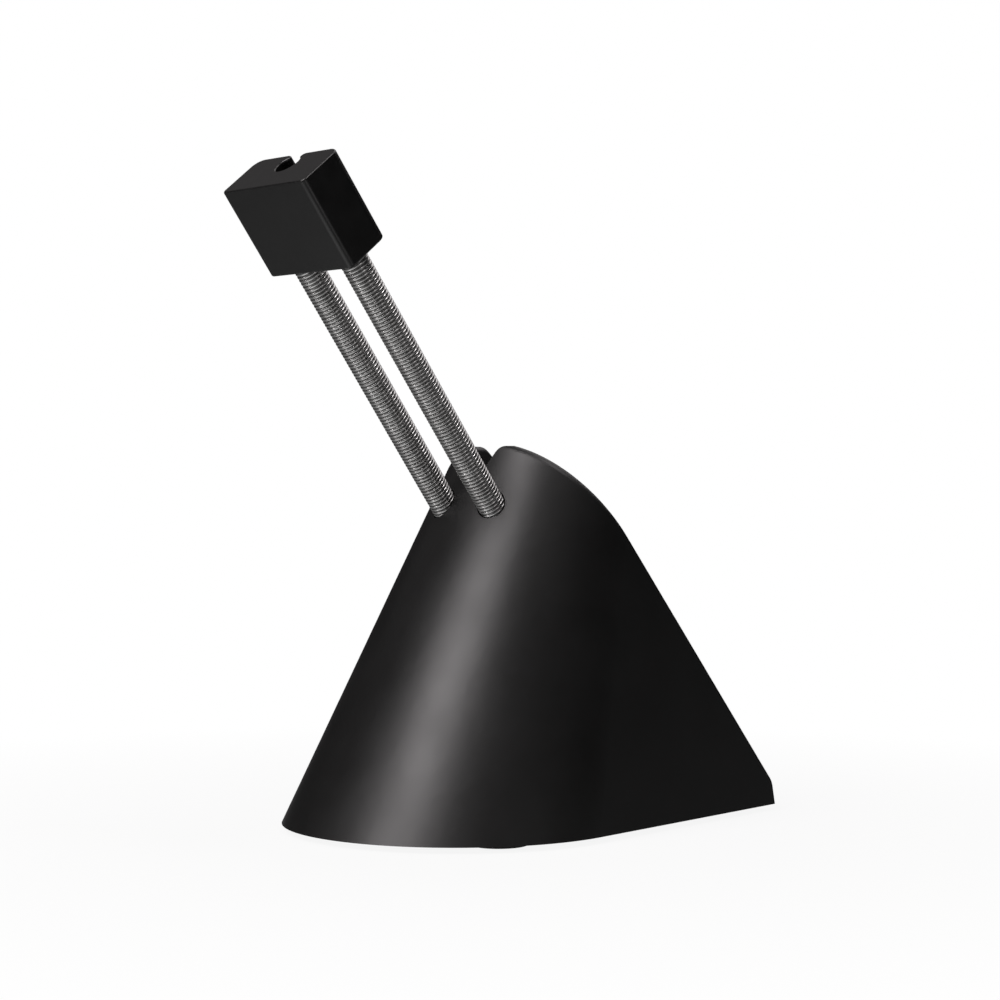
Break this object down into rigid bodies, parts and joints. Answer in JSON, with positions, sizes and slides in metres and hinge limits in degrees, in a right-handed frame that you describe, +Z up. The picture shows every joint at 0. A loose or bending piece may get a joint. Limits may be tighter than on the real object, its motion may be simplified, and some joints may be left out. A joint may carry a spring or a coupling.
{
  "type": "mouse bungee",
  "caption": "Weighted tent-shaped desk stand with a leaning pair of coil springs that hold a slotted cable head above it.",
  "frame": {"origin": "centre of the whole object's outline, on the table plane under the feet", "axes": "+Z up from the table; the rounded nose and the leaning arm face -Y, the slanted back faces +Y; X runs across, from left to right as seen from behind the stand"},
  "size_m": [0.0768, 0.1247, 0.141],
  "materials": {
    "body_plastic": "satin black moulded plastic with a fine grain",
    "head_plastic": "satin black moulded plastic with softened edges",
    "plate_plastic": "plain black moulded plastic",
    "foot_rubber": "matt black rubber",
    "weight_steel": "dull blackened iron",
    "spring_steel": "drawn spring wire, dark and slightly shiny",
    "screw_steel": "zinc plated screw"
  },
  "bodies": {
    "stand": {"body_shell": "body_plastic", "base_plate": "plate_plastic", "foot_front_left": "foot_rubber", "foot_front_right": "foot_rubber", "foot_rear_left": "foot_rubber", "foot_rear_right": "foot_rubber", "ballast_weight": "weight_steel", "spring_anchor": "plate_plastic", "plate_screws": "screw_steel", "weight_screws": "screw_steel", "anchor_screws": "screw_steel"},
    "springs": {"spring_left": "spring_steel", "spring_right": "spring_steel"},
    "head": {"head": "head_plastic"}
  },
  "joints": [
    {"name": "arm_sway", "type": "hinge", "parent": "stand", "child": "springs", "pos_m": [0, -0.01301, 0.07979], "axis": [0, 0.7815, 0.6239], "range_deg": [-22, 22], "stiffness_Nm_per_rad": 0.25, "deforming": ["spring_left", "spring_right"]},
    {"name": "arm_bend", "type": "hinge", "parent": "springs", "child": "head", "pos_m": [0, -0.03422, 0.10636], "axis": [1, 0, 0], "range_deg": [-30, 40], "stiffness_Nm_per_rad": 0.25, "deforming": ["spring_left", "spring_right"]}
  ]
}
